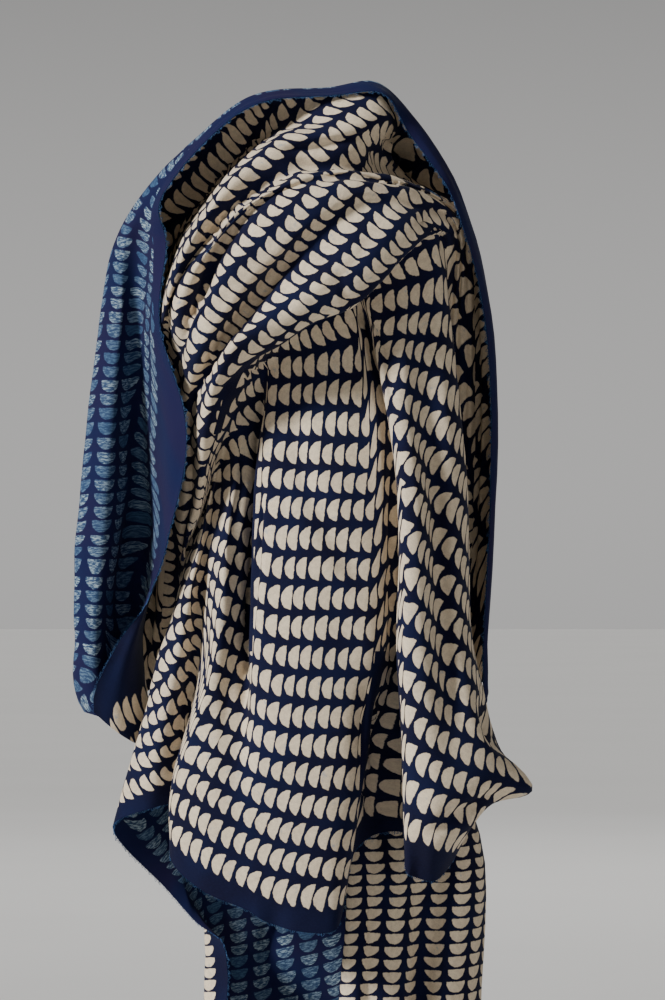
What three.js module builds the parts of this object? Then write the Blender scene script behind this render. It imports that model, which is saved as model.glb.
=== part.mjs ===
// One length of block-printed cotton, bunched over a support that does not show and hanging from it.
// Millimetres. X is to the right, Y goes away from the front, Z is up, and the origin is the hold point
// under the top of the cloth. The cloth is one sheet: its sections run along the length of the cloth,
// and its fold lines run across it from the front hem to the other selvedge, on the hood's rim.
import * as THREE from "three";

const THICKNESS = 1.4;
const COLOUR = 0x1b2150;
const ROUGHNESS = 0.92;

// Each place below is [right, up, back] from the hold point.

// The front panel, from its hem up to the tuck that the roll hides. A row for each upright fold;
// at is the fold's place along the cloth.
const LEVELS = ["hem", "low", "mid", "upper", "tuck"];
const FRONT = [
  { fold: "tail end", at: 0, hem: [-62, -760, -8], low: [-80, -758, 16], mid: [-12, -760, 44],
    upper: [92, -760, 54], tuck: [146, -758, 30] },
  { fold: "tail top", at: 10, hem: [-62, -672, -2], low: [-78, -660, 20], mid: [-12, -630, 46],
    upper: [86, -590, 54], tuck: [136, -566, 30] },
  { fold: "inner layer", at: 15, hem: [-84, -654, 2], low: [-92, -612, 12], mid: [-56, -560, 28],
    upper: [0, -502, 30], tuck: [34, -456, 14] },
  { fold: "back layer", at: 20, hem: [-107, -628, 0], low: [-102, -560, 2], mid: [-92, -488, 2],
    upper: [-92, -418, 0], tuck: [-92, -322, -13] },
  { fold: "left edge", at: 25, hem: [-150, -575, -30], low: [-130, -501, -28], mid: [-112, -432, -28],
    upper: [-91, -372, -28], tuck: [-78, -322, -32] },
  { fold: "left face", at: 27.5, hem: [-123, -560, -46], low: [-112, -504, -50], mid: [-98, -436, -54],
    upper: [-83, -364, -52], tuck: [-70, -296, -48] },
  { fold: "left valley", at: 31, hem: [-95, -557, -38], low: [-93, -501, -38], mid: [-82, -440, -42],
    upper: [-76, -360, -42], tuck: [-61, -264, -46] },
  { fold: "left ridge", at: 35, hem: [-103, -597, -62], low: [-101, -540, -68], mid: [-70, -448, -74],
    upper: [-59, -348, -68], tuck: [-52, -256, -54] },
  { fold: "left slope", at: 38, hem: [-78, -622, -80], low: [-76, -544, -86], mid: [-54, -444, -68],
    upper: [-47, -336, -60], tuck: [-44, -240, -54] },
  { fold: "pleat", at: 41, hem: [-40, -638, -88], low: [-48, -552, -90], mid: [-41, -436, -56],
    upper: [-34, -312, -46], tuck: [-31, -222, -52] },
  { fold: "middle left edge", at: 43, hem: [-28, -646, -90], low: [-30, -552, -94], mid: [-37, -432, -84],
    upper: [-34, -304, -76], tuck: [-26, -204, -62] },
  { fold: "middle", at: 50, hem: [0, -654, -92], low: [0, -552, -97], mid: [0, -432, -96],
    upper: [-2, -304, -88], tuck: [4, -168, -60] },
  { fold: "middle right", at: 56, hem: [27, -654, -88], low: [30, -552, -93], mid: [34, -432, -93],
    upper: [32, -304, -88], tuck: [30, -150, -60] },
  { fold: "right edge", at: 60, hem: [33, -642, -74], low: [46, -552, -84], mid: [58, -432, -87],
    upper: [56, -304, -82], tuck: [38, -144, -60] },
  { fold: "recess", at: 62, hem: [46, -590, -52], low: [54, -520, -62], mid: [69, -432, -74],
    upper: [67, -304, -78], tuck: [41, -142, -60] },
  { fold: "side valley", at: 65, hem: [82, -578, -48], low: [84, -520, -50], mid: [83, -432, -52],
    upper: [82, -304, -62], tuck: [44, -140, -60] },
  { fold: "spine", at: 67, hem: [86, -610, -84], low: [83, -541, -104], mid: [79, -432, -104],
    upper: [78, -296, -100], tuck: [48, -136, -64] },
  { fold: "side face", at: 71, hem: [104, -615, -78], low: [106, -566, -112], mid: [96, -432, -108],
    upper: [91, -296, -102], tuck: [68, -120, -62] },
  { fold: "side crease", at: 75, hem: [118, -605, -66], low: [130, -556, -106], mid: [116, -432, -86],
    upper: [107, -304, -78], tuck: [90, -100, -58] },
  { fold: "side dim face", at: 78, hem: [126, -592, -54], low: [154, -545, -90], mid: [128, -432, -82],
    upper: [122, -304, -74], tuck: [104, -96, -52] },
  { fold: "side edge", at: 82, hem: [134, -570, -38], low: [175, -539, -66], mid: [139, -436, -58],
    upper: [134, -304, -50], tuck: [114, -104, -40] },
  { fold: "back right", at: 86, hem: [140, -540, 16], low: [140, -490, 6], mid: [132, -425, -6],
    upper: [122, -304, -12], tuck: [118, -130, -22] },
  { fold: "back", at: 92, hem: [92, -545, 66], low: [98, -490, 58], mid: [100, -425, 38],
    upper: [108, -304, 14], tuck: [114, -205, 4] },
  { fold: "back end", at: 100, hem: [-20, -560, 84], low: [0, -510, 86], mid: [26, -455, 82],
    upper: [62, -390, 68], tuck: [98, -345, 52] },
];

// The swag, hood and lapel above it. A row for each fold line, from the roll's lower edge up to the
// selvedge, with one place for each section along the cloth.
const SECTIONS = [
  { name: "tail end", at: 0 },
  { name: "tail top", at: 10 },
  { name: "foot", at: 20 },
  { name: "edge", at: 25 },
  { name: "low", at: 28 },
  { name: "strip", at: 35 },
  { name: "elbow", at: 43 },
  { name: "arm", at: 49 },
  { name: "middle", at: 55 },
  { name: "upper", at: 67 },
  { name: "knot", at: 74 },
  { name: "crown", at: 78 },
  { name: "brow", at: 81 },
  { name: "gather", at: 85 },
  { name: "nape", at: 88 },
  { name: "far side", at: 92 },
  { name: "end", at: 100 },
];
const FOLDS = [
  { line: "roll edge", places: [
    [132, -758, -4], [134, -560, 2], [-80, -400, 16], [-97, -362, -22],
    [-80, -322, -50], [-70, -262, -84], [-46, -206, -104], [-19, -190, -110],
    [10, -172, -112], [43, -158, -110], [82, -118, -92], [98, -104, -76],
    [112, -98, -62], [122, -101, -40], [125, -112, -22], [120, -186, 12],
    [112, -332, 48]] },
  { line: "roll face", places: [
    [112, -760, -18], [116, -560, -14], [-83, -406, 20], [-99, -364, -16],
    [-84, -318, -52], [-76, -250, -92], [-56, -194, -118], [-30, -174, -124],
    [0, -152, -126], [34, -132, -120], [72, -100, -100], [96, -92, -84],
    [109, -88, -68], [121, -93, -46], [127, -108, -28], [124, -184, 10],
    [116, -342, 44]] },
  { line: "furrow", places: [
    [94, -760, -8], [98, -560, -6], [-87, -412, 24], [-101, -366, -10],
    [-87, -314, -42], [-85, -236, -68], [-66, -198, -92], [-46, -168, -98],
    [-13, -125, -98], [5, -106, -104], [50, -76, -96], [84, -78, -82],
    [102, -78, -66], [120, -88, -42], [128, -104, -24], [127, -182, 12],
    [120, -352, 44]] },
  { line: "pinch", places: [
    [78, -760, -20], [80, -560, -18], [-90, -418, 28], [-103, -368, -6],
    [-91, -310, -44], [-89, -230, -70], [-76, -190, -104], [-54, -158, -110],
    [-30, -128, -112], [-2, -102, -114], [42, -70, -104], [74, -68, -88],
    [96, -72, -70], [118, -83, -48], [129, -100, -30], [130, -181, 10],
    [123, -362, 38]] },
  { line: "slope", places: [
    [60, -760, -26], [62, -560, -22], [-94, -424, 31], [-105, -370, -2],
    [-94, -306, -42], [-93, -222, -68], [-83, -172, -106], [-68, -149, -112],
    [-50, -122, -114], [-12, -82, -112], [36, -62, -102], [70, -62, -87],
    [91, -66, -72], [117, -78, -50], [130, -96, -30], [132, -180, 10],
    [126, -372, 35]] },
  { line: "trough", places: [
    [42, -760, -26], [42, -560, -24], [-98, -432, 34], [-107, -373, 2],
    [-98, -302, -36], [-97, -212, -60], [-88, -180, -90], [-78, -152, -92],
    [-66, -120, -92], [-30, -76, -100], [24, -58, -92], [64, -60, -80],
    [86, -62, -66], [115, -74, -44], [131, -92, -26], [135, -179, 11],
    [130, -384, 40]] },
  { line: "second ridge", places: [
    [29, -760, -12], [28, -565, -10], [-102, -440, 36], [-109, -376, 6],
    [-102, -298, -30], [-101, -204, -56], [-98, -162, -94], [-88, -138, -100],
    [-75, -119, -102], [-44, -82, -106], [14, -53, -94], [58, -53, -80],
    [80, -57, -68], [112, -70, -48], [132, -88, -26], [138, -178, 10],
    [134, -396, 38]] },
  { line: "gap", places: [
    [44, -760, 4], [44, -570, 4], [-106, -448, 38], [-111, -380, 10],
    [-106, -294, -24], [-105, -198, -52], [-102, -152, -84], [-91, -130, -86],
    [-78, -110, -86], [-45, -74, -86], [4, -50, -84], [45, -50, -66],
    [61, -52, -48], [96, -60, -24], [131, -84, -22], [141, -178, 16],
    [138, -408, 44]] },
  { line: "first ridge", places: [
    [66, -760, 10], [66, -580, 10], [-112, -453, 40], [-114, -384, 14],
    [-111, -290, -16], [-110, -188, -50], [-107, -162, -86], [-99, -134, -92],
    [-88, -110, -96], [-58, -64, -94], [-14, -29, -86], [36, -22, -78],
    [59, -19, -64], [80, -40, -4], [130, -80, -14], [144, -177, 20],
    [141, -420, 48]] },
  { line: "hollow front", places: [
    [88, -760, 20], [86, -590, 20], [-128, -468, 46], [-124, -420, 38],
    [-120, -340, 30], [-120, -280, 30], [-122, -160, 8], [-112, -122, 0],
    [-100, -92, -2], [-60, -44, -14], [-20, -14, -34], [28, -8, -66],
    [66, -5, -56], [83, -24, -6], [130, -74, -12], [147, -176, 24],
    [144, -434, 54]] },
  { line: "hollow back", places: [
    [100, -760, 32], [96, -600, 32], [-152, -476, 36], [-150, -430, 34],
    [-156, -350, 24], [-152, -276, 24], [-144, -164, 16], [-131, -112, 8],
    [-112, -76, -6], [-69, -22, -10], [-27, 2, -22], [25, 6, -54],
    [63, 9, -50], [88, -12, -14], [129, -69, -14], [151, -175, 22],
    [149, -450, 52]] },
  { line: "outer edge", places: [
    [62, -760, 37], [58, -600, 36], [-176, -482, 4], [-182, -424, -6],
    [-182, -360, -8], [-174, -271, -8], [-162, -168, -10], [-150, -107, -14],
    [-126, -66, -28], [-70, -10, -42], [-33, 13, -46], [24, 18, -44],
    [61, 22, -44], [90, -4, -34], [127, -64, -26], [155, -175, 10],
    [153, -464, 40]] },
  { line: "lapel wall", places: [
    [34, -760, 30], [30, -600, 30], [-160, -486, -14], [-166, -426, -22],
    [-162, -360, -22], [-154, -271, -26], [-144, -168, -30], [-142, -106, -32],
    [-122, -68, -42], [-70, -12, -48], [-33, 11, -51], [25, 17, -48],
    [62, 20, -47], [91, -6, -38], [128, -65, -36], [156, -177, 2],
    [153, -468, 34]] },
  { line: "lapel valley", places: [
    [14, -760, 26], [8, -600, 28], [-118, -510, 6], [-132, -440, 14],
    [-128, -372, 12], [-128, -276, 2], [-130, -172, -22], [-128, -108, -36],
    [-117, -72, -50], [-69, -14, -53], [-32, 9, -55], [26, 15, -52],
    [63, 18, -50], [90, -9, -42], [126, -66, -42], [156, -179, -4],
    [152, -472, 26]] },
  { line: "lapel band", places: [
    [-8, -760, 25], [-12, -600, 26], [-144, -500, -26], [-128, -410, -40],
    [-110, -352, -50], [-104, -264, -72], [-118, -160, -58], [-116, -108, -56],
    [-114, -74, -58], [-68, -16, -58], [-31, 7, -59], [27, 13, -55],
    [64, 16, -53], [89, -12, -45], [124, -68, -48], [154, -182, -10],
    [151, -476, 20]] },
  { line: "selvedge", places: [
    [-24, -760, 25], [-28, -600, 24], [-166, -482, -30], [-122, -394, -50],
    [-106, -345, -62], [-90, -261, -86], [-112, -166, -74], [-107, -108, -64],
    [-112, -76, -64], [-67, -18, -62], [-30, 5, -62], [28, 11, -58],
    [65, 13, -56], [87, -16, -48], [122, -71, -52], [151, -186, -14],
    [148, -480, 16]] },
];

// Facets from one front fold to the next, and from one level or line to the next.
const ALONG_STEPS = [2, 2, 2, 2, 2, 2, 2, 2, 2, 2, 2, 2, 2, 2, 2, 2, 2, 2, 2, 2, 3, 3, 3];
const ACROSS_STEPS = [3, 3, 3, 3, 3, 2, 2, 2, 1, 2, 2, 2, 2, 3, 2, 3, 2, 3, 2, 1];

// Where nothing can show, inside the tail and behind the left drape, the cloth is left out between
// these folds and lines, so that its hidden layers stay clear of each other.
const LEFT_OUT = [
  { fromFold: "tail end", toFold: "tail top", fromLine: "gap", toLine: "selvedge" },
  { fromFold: "tail top", toFold: "back layer", fromLine: "tuck", toLine: "selvedge" },
  { fromFold: "back layer", toFold: "left edge", fromLine: "tuck", toLine: "roll edge" },
];

const place = ([right, up, back]) => new THREE.Vector3(right, back, up);

const smooth = (points) => new THREE.CatmullRomCurve3(points, false, "centripetal");

// A place on the curve, counted in points from its start.
const onCurve = (curve, count) => curve.getPoint(count / (curve.points.length - 1));

// How many rows of a table lie before a place along the cloth, with the fraction past the last one.
function rowsBefore(table, at) {
  let row = 0;
  while (row < table.length - 2 && at > table[row + 1].at) row += 1;
  return row + (at - table[row].at) / (table[row + 1].at - table[row].at);
}

// The numbers from the first place to the last, with the given steps between each pair of places.
function divide(places, steps) {
  const divided = [places[0]];
  steps.forEach((count, i) => {
    for (let k = 1; k <= count; k += 1) {
      divided.push(places[i] + ((places[i + 1] - places[i]) * k) / count);
    }
  });
  return divided;
}

// The middle surface of the cloth, as rows of points: one row for each place along the cloth.
function middleSurface() {
  const panel = LEVELS.map((level) => smooth(FRONT.map((row) => place(row[level]))));
  const swag = FOLDS.map((fold) => smooth(fold.places.map(place)));
  const alongs = divide(FRONT.map((row) => row.at), ALONG_STEPS);
  const across = divide([...panel, ...swag].map((_, i) => i), ACROSS_STEPS);
  return alongs.map((at) => {
    const section = smooth([
      ...panel.map((curve) => onCurve(curve, rowsBefore(FRONT, at))),
      ...swag.map((curve) => onCurve(curve, rowsBefore(SECTIONS, at))),
    ]);
    return across.map((count) => onCurve(section, count));
  });
}

// The surface's normal at each point, from its neighbours on both sides.
function normals(grid) {
  const near = (list, i) => [list[Math.max(i - 1, 0)], list[Math.min(i + 1, list.length - 1)]];
  return grid.map((row, i) => row.map((_, j) => {
    const [left, right] = near(grid, i).map((line) => line[j]);
    const [below, above] = near(row, j);
    const along = right.clone().sub(left);
    return along.cross(above.clone().sub(below)).normalize();
  }));
}

// Whether the patch of cloth after a row and a column is left out.
function leftOut(row, column) {
  const folds = FRONT.map(({ fold }) => fold);
  const lines = [...LEVELS, ...FOLDS.map(({ line }) => line)];
  const before = (names, steps, name) =>
    steps.slice(0, names.indexOf(name)).reduce((sum, count) => sum + count, 0);
  return LEFT_OUT.some(({ fromFold, toFold, fromLine, toLine }) =>
    row >= before(folds, ALONG_STEPS, fromFold) && row < before(folds, ALONG_STEPS, toFold)
    && column >= before(lines, ACROSS_STEPS, fromLine) && column < before(lines, ACROSS_STEPS, toLine));
}

// The closed solid: the middle surface moved half the thickness to each side, and joined round its rims.
function thicken(grid) {
  const rows = grid.length;
  const columns = grid[0].length;
  const normal = normals(grid);
  const positions = [];
  for (const side of [1, -1]) {
    grid.forEach((row, i) => row.forEach((point, j) => {
      positions.push(...point.clone().addScaledVector(normal[i][j], (side * THICKNESS) / 2).toArray());
    }));
  }
  const print = ([i, j]) => i * columns + j;
  const reverse = ([i, j]) => rows * columns + print([i, j]);
  const kept = ([i, j]) => i >= 0 && j >= 0 && i < rows - 1 && j < columns - 1 && !leftOut(i, j);
  const faces = [];
  const quad = (a, b, c, d) => faces.push(a, b, c, a, c, d);
  for (let i = 0; i < rows - 1; i += 1) {
    for (let j = 0; j < columns - 1; j += 1) {
      if (!kept([i, j])) continue;
      const corners = [[i, j], [i + 1, j], [i + 1, j + 1], [i, j + 1]];
      const neighbours = [[i, j - 1], [i + 1, j], [i, j + 1], [i - 1, j]];
      const [first, second, third, fourth] = corners;
      quad(...corners.map(print));
      quad(...[first, fourth, third, second].map(reverse));
      corners.forEach((from, k) => {
        const to = corners[(k + 1) % corners.length];
        if (!kept(neighbours[k])) quad(print(from), reverse(from), reverse(to), print(to));
      });
    }
  }
  const geometry = new THREE.BufferGeometry();
  geometry.setAttribute("position", new THREE.Float32BufferAttribute(positions, 3));
  geometry.setIndex(faces);
  geometry.computeVertexNormals();
  return geometry;
}

const cotton = new THREE.MeshStandardMaterial({ color: COLOUR, roughness: ROUGHNESS, metalness: 0 });
const cloth = new THREE.Mesh(thicken(middleSurface()), cotton);
cloth.name = "cloth";

const part = new THREE.Group();
part.add(cloth);

export default part;
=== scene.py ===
import math
import bpy
import numpy as np
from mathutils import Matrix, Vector, noise


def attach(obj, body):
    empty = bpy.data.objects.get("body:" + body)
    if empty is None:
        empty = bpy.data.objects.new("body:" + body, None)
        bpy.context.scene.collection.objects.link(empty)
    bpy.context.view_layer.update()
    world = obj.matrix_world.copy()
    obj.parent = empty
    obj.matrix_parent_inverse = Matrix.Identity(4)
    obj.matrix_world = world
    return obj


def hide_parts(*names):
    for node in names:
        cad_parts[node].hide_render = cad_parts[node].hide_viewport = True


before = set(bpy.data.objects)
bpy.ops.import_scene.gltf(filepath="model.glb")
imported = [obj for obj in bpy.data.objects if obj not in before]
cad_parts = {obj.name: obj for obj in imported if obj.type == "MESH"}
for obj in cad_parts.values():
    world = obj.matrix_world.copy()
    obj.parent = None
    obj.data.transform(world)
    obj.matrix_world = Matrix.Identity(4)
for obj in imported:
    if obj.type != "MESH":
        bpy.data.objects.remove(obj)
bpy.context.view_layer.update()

# One length of block-printed cotton, bunched over a support that does not show and hanging from it.
# The tables below are the part's own, in millimetres: X to the right, Y away from the front, Z up, from
# the hold point under the top of the cloth. Each place is (right, up, back).
MM = 0.001


def table(columns, rows):
    """A row of named values for each row of values. Where a row is short, its last columns are not given."""
    return [dict(zip(columns.split(), row)) for row in rows]


# The front panel, from its hem up to the tuck that the roll hides. A row for each upright fold;
# at is the fold's place along the cloth.
LEVELS = ["hem", "low", "mid", "upper", "tuck"]
FRONT = table("fold at hem low mid upper tuck", [
    ("tail end", 0, (-62, -760, -8), (-80, -758, 16), (-12, -760, 44), (92, -760, 54), (146, -758, 30)),
    ("tail top", 10, (-62, -672, -2), (-78, -660, 20), (-12, -630, 46), (86, -590, 54), (136, -566, 30)),
    ("inner layer", 15, (-84, -654, 2), (-92, -612, 12), (-56, -560, 28), (0, -502, 30), (34, -456, 14)),
    ("back layer", 20, (-107, -628, 0), (-102, -560, 2), (-92, -488, 2), (-92, -418, 0), (-92, -322, -13)),
    ("left edge", 25, (-150, -575, -30), (-130, -501, -28), (-112, -432, -28), (-91, -372, -28),
     (-78, -322, -32)),
    ("left face", 27.5, (-123, -560, -46), (-112, -504, -50), (-98, -436, -54), (-83, -364, -52),
     (-70, -296, -48)),
    ("left valley", 31, (-95, -557, -38), (-93, -501, -38), (-82, -440, -42), (-76, -360, -42),
     (-61, -264, -46)),
    ("left ridge", 35, (-103, -597, -62), (-101, -540, -68), (-70, -448, -74), (-59, -348, -68),
     (-52, -256, -54)),
    ("left slope", 38, (-78, -622, -80), (-76, -544, -86), (-54, -444, -68), (-47, -336, -60),
     (-44, -240, -54)),
    ("pleat", 41, (-40, -638, -88), (-48, -552, -90), (-41, -436, -56), (-34, -312, -46),
     (-31, -222, -52)),
    ("middle left edge", 43, (-28, -646, -90), (-30, -552, -94), (-37, -432, -84), (-34, -304, -76),
     (-26, -204, -62)),
    ("middle", 50, (0, -654, -92), (0, -552, -97), (0, -432, -96), (-2, -304, -88), (4, -168, -60)),
    ("middle right", 56, (27, -654, -88), (30, -552, -93), (34, -432, -93), (32, -304, -88),
     (30, -150, -60)),
    ("right edge", 60, (33, -642, -74), (46, -552, -84), (58, -432, -87), (56, -304, -82),
     (38, -144, -60)),
    ("recess", 62, (46, -590, -52), (54, -520, -62), (69, -432, -74), (67, -304, -78), (41, -142, -60)),
    ("side valley", 65, (82, -578, -48), (84, -520, -50), (83, -432, -52), (82, -304, -62),
     (44, -140, -60)),
    ("spine", 67, (86, -610, -84), (83, -541, -104), (79, -432, -104), (78, -296, -100), (48, -136, -64)),
    ("side face", 71, (104, -615, -78), (106, -566, -112), (96, -432, -108), (91, -296, -102),
     (68, -120, -62)),
    ("side crease", 75, (118, -605, -66), (130, -556, -106), (116, -432, -86), (107, -304, -78),
     (90, -100, -58)),
    ("side dim face", 78, (126, -592, -54), (154, -545, -90), (128, -432, -82), (122, -304, -74),
     (104, -96, -52)),
    ("side edge", 82, (134, -570, -38), (175, -539, -66), (139, -436, -58), (134, -304, -50),
     (114, -104, -40)),
    ("back right", 86, (140, -540, 16), (140, -490, 6), (132, -425, -6), (122, -304, -12),
     (118, -130, -22)),
    ("back", 92, (92, -545, 66), (98, -490, 58), (100, -425, 38), (108, -304, 14), (114, -205, 4)),
    ("back end", 100, (-20, -560, 84), (0, -510, 86), (26, -455, 82), (62, -390, 68), (98, -345, 52)),
])
SECTIONS = table("name at", [
    ("tail end", 0),
    ("tail top", 10),
    ("foot", 20),
    ("edge", 25),
    ("low", 28),
    ("strip", 35),
    ("elbow", 43),
    ("arm", 49),
    ("middle", 55),
    ("upper", 67),
    ("knot", 74),
    ("crown", 78),
    ("brow", 81),
    ("gather", 85),
    ("nape", 88),
    ("far side", 92),
    ("end", 100),
])
FOLDS = table("line places", [
    ("roll edge", [
        (132, -758, -4), (134, -560, 2), (-80, -400, 16), (-97, -362, -22),
        (-80, -322, -50), (-70, -262, -84), (-46, -206, -104), (-19, -190, -110),
        (10, -172, -112), (43, -158, -110), (82, -118, -92), (98, -104, -76),
        (112, -98, -62), (122, -101, -40), (125, -112, -22), (120, -186, 12),
        (112, -332, 48)]),
    ("roll face", [
        (112, -760, -18), (116, -560, -14), (-83, -406, 20), (-99, -364, -16),
        (-84, -318, -52), (-76, -250, -92), (-56, -194, -118), (-30, -174, -124),
        (0, -152, -126), (34, -132, -120), (72, -100, -100), (96, -92, -84),
        (109, -88, -68), (121, -93, -46), (127, -108, -28), (124, -184, 10),
        (116, -342, 44)]),
    ("furrow", [
        (94, -760, -8), (98, -560, -6), (-87, -412, 24), (-101, -366, -10),
        (-87, -314, -42), (-85, -236, -68), (-66, -198, -92), (-46, -168, -98),
        (-13, -125, -98), (5, -106, -104), (50, -76, -96), (84, -78, -82),
        (102, -78, -66), (120, -88, -42), (128, -104, -24), (127, -182, 12),
        (120, -352, 44)]),
    ("pinch", [
        (78, -760, -20), (80, -560, -18), (-90, -418, 28), (-103, -368, -6),
        (-91, -310, -44), (-89, -230, -70), (-76, -190, -104), (-54, -158, -110),
        (-30, -128, -112), (-2, -102, -114), (42, -70, -104), (74, -68, -88),
        (96, -72, -70), (118, -83, -48), (129, -100, -30), (130, -181, 10),
        (123, -362, 38)]),
    ("slope", [
        (60, -760, -26), (62, -560, -22), (-94, -424, 31), (-105, -370, -2),
        (-94, -306, -42), (-93, -222, -68), (-83, -172, -106), (-68, -149, -112),
        (-50, -122, -114), (-12, -82, -112), (36, -62, -102), (70, -62, -87),
        (91, -66, -72), (117, -78, -50), (130, -96, -30), (132, -180, 10),
        (126, -372, 35)]),
    ("trough", [
        (42, -760, -26), (42, -560, -24), (-98, -432, 34), (-107, -373, 2),
        (-98, -302, -36), (-97, -212, -60), (-88, -180, -90), (-78, -152, -92),
        (-66, -120, -92), (-30, -76, -100), (24, -58, -92), (64, -60, -80),
        (86, -62, -66), (115, -74, -44), (131, -92, -26), (135, -179, 11),
        (130, -384, 40)]),
    ("second ridge", [
        (29, -760, -12), (28, -565, -10), (-102, -440, 36), (-109, -376, 6),
        (-102, -298, -30), (-101, -204, -56), (-98, -162, -94), (-88, -138, -100),
        (-75, -119, -102), (-44, -82, -106), (14, -53, -94), (58, -53, -80),
        (80, -57, -68), (112, -70, -48), (132, -88, -26), (138, -178, 10),
        (134, -396, 38)]),
    ("gap", [
        (44, -760, 4), (44, -570, 4), (-106, -448, 38), (-111, -380, 10),
        (-106, -294, -24), (-105, -198, -52), (-102, -152, -84), (-91, -130, -86),
        (-78, -110, -86), (-45, -74, -86), (4, -50, -84), (45, -50, -66),
        (61, -52, -48), (96, -60, -24), (131, -84, -22), (141, -178, 16),
        (138, -408, 44)]),
    ("first ridge", [
        (66, -760, 10), (66, -580, 10), (-112, -453, 40), (-114, -384, 14),
        (-111, -290, -16), (-110, -188, -50), (-107, -162, -86), (-99, -134, -92),
        (-88, -110, -96), (-58, -64, -94), (-14, -29, -86), (36, -22, -78),
        (59, -19, -64), (80, -40, -4), (130, -80, -14), (144, -177, 20),
        (141, -420, 48)]),
    ("hollow front", [
        (88, -760, 20), (86, -590, 20), (-128, -468, 46), (-124, -420, 38),
        (-120, -340, 30), (-120, -280, 30), (-122, -160, 8), (-112, -122, 0),
        (-100, -92, -2), (-60, -44, -14), (-20, -14, -34), (28, -8, -66),
        (66, -5, -56), (83, -24, -6), (130, -74, -12), (147, -176, 24),
        (144, -434, 54)]),
    ("hollow back", [
        (100, -760, 32), (96, -600, 32), (-152, -476, 36), (-150, -430, 34),
        (-156, -350, 24), (-152, -276, 24), (-144, -164, 16), (-131, -112, 8),
        (-112, -76, -6), (-69, -22, -10), (-27, 2, -22), (25, 6, -54),
        (63, 9, -50), (88, -12, -14), (129, -69, -14), (151, -175, 22),
        (149, -450, 52)]),
    ("outer edge", [
        (62, -760, 37), (58, -600, 36), (-176, -482, 4), (-182, -424, -6),
        (-182, -360, -8), (-174, -271, -8), (-162, -168, -10), (-150, -107, -14),
        (-126, -66, -28), (-70, -10, -42), (-33, 13, -46), (24, 18, -44),
        (61, 22, -44), (90, -4, -34), (127, -64, -26), (155, -175, 10),
        (153, -464, 40)]),
    ("lapel wall", [
        (34, -760, 30), (30, -600, 30), (-160, -486, -14), (-166, -426, -22),
        (-162, -360, -22), (-154, -271, -26), (-144, -168, -30), (-142, -106, -32),
        (-122, -68, -42), (-70, -12, -48), (-33, 11, -51), (25, 17, -48),
        (62, 20, -47), (91, -6, -38), (128, -65, -36), (156, -177, 2),
        (153, -468, 34)]),
    ("lapel valley", [
        (14, -760, 26), (8, -600, 28), (-118, -510, 6), (-132, -440, 14),
        (-128, -372, 12), (-128, -276, 2), (-130, -172, -22), (-128, -108, -36),
        (-117, -72, -50), (-69, -14, -53), (-32, 9, -55), (26, 15, -52),
        (63, 18, -50), (90, -9, -42), (126, -66, -42), (156, -179, -4),
        (152, -472, 26)]),
    ("lapel band", [
        (-8, -760, 25), (-12, -600, 26), (-144, -500, -26), (-128, -410, -40),
        (-110, -352, -50), (-104, -264, -72), (-118, -160, -58), (-116, -108, -56),
        (-114, -74, -58), (-68, -16, -58), (-31, 7, -59), (27, 13, -55),
        (64, 16, -53), (89, -12, -45), (124, -68, -48), (154, -182, -10),
        (151, -476, 20)]),
    ("selvedge", [
        (-24, -760, 25), (-28, -600, 24), (-166, -482, -30), (-122, -394, -50),
        (-106, -345, -62), (-90, -261, -86), (-112, -166, -74), (-107, -108, -64),
        (-112, -76, -64), (-67, -18, -62), (-30, 5, -62), (28, 11, -58),
        (65, 13, -56), (87, -16, -48), (122, -71, -52), (151, -186, -14),
        (148, -480, 16)]),
])
ALONG_STEPS = [2, 2, 2, 2, 2, 2, 2, 2, 2, 2, 2, 2, 2, 2, 2, 2, 2, 2, 2, 2, 3, 3, 3]
ACROSS_STEPS = [3, 3, 3, 3, 3, 2, 2, 2, 1, 2, 2, 2, 2, 3, 2, 3, 2, 3, 2, 1]

# Where nothing can show, inside the tail and behind the left drape, the cloth is left out between
# these folds and lines, as in the part.
LEFT_OUT = table("from_fold to_fold from_line to_line", [
    ("tail end", "tail top", "gap", "selvedge"),
    ("tail top", "back layer", "tuck", "selvedge"),
    ("back layer", "left edge", "tuck", "roll edge"),
])
LINES = LEVELS + [row["line"] for row in FOLDS]
FINER_ALONG = 4
FINER_ACROSS = 5
THICKNESS = 1.0
SEAM = "gap"
STRAIGHT_TO = "middle left edge"

# The print, in millimetres of the flat layout, with half-moons in rows along the cloth. The layout is
# a sixth shorter across the middle panel than the folded cloth, and these sizes allow for that.
MOON_PITCH = 10.1
ROW_PITCH = 19.8
HEM_MARGIN = 11.0
SELVEDGE_MARGIN = 20.0

# The camera stands where the photograph's did, far off with a long lens.
VIEW_CENTRE = Vector((0.026, -0.05, -0.312))
VIEW_HEIGHT = 0.8
LENS = 200.0
SENSOR = 36.0


def make_camera():
    camera = bpy.data.cameras.new("camera")
    camera.lens = LENS
    camera.sensor_width = SENSOR
    camera.clip_end = 100.0
    obj = bpy.data.objects.new("camera", camera)
    bpy.context.collection.objects.link(obj)
    distance = VIEW_HEIGHT * LENS / SENSOR
    obj.location = VIEW_CENTRE + Vector((0, -distance, 0))
    obj.rotation_euler = (math.radians(90), 0, 0)
    bpy.context.scene.camera = obj


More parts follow.
